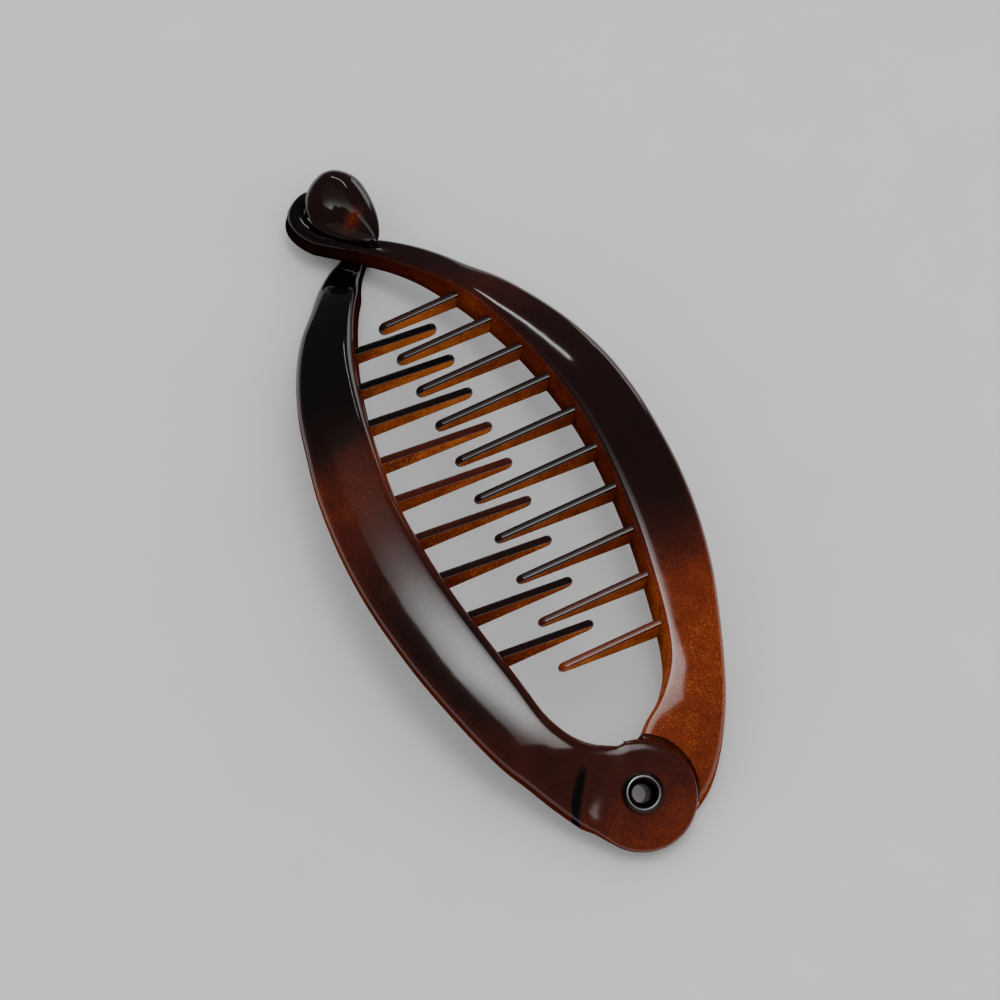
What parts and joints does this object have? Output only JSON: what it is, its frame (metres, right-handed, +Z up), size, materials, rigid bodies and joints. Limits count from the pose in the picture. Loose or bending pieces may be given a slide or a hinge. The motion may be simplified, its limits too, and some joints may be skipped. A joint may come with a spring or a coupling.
{
  "type": "banana hair clip",
  "caption": "Long bowed hair comb of two toothed plastic arms that turn on a metal eyelet at one end and hook over each other under a domed cap at the other.",
  "frame": {"origin": "centre of the closed clip's bounding box in X and Y, on the plane it rests on", "axes": "+Y along the clip from the hinge end to the clasp end, +X toward the right arm (the one that turns), +Z up, with the bowed top side up"},
  "size_m": [0.058, 0.1428, 0.0213],
  "materials": {
    "left_arm": "glossy tortoiseshell, near-black to red-brown with fine amber speckle",
    "right_arm": "glossy tortoiseshell, near-black to red-brown with fine amber speckle",
    "hinge_eyelet": "glossy black"
  },
  "bodies": {
    "left": {"left_arm": "left_arm", "hinge_eyelet": "hinge_eyelet"},
    "right": {"right_arm": "right_arm"}
  },
  "joints": [
    {"name": "hinge", "type": "hinge", "parent": "left", "child": "right", "pos_m": [-0.00009, -0.06342, 0.00858], "axis": [0, 0.4258, -0.9048], "range_deg": [0, 60]}
  ]
}
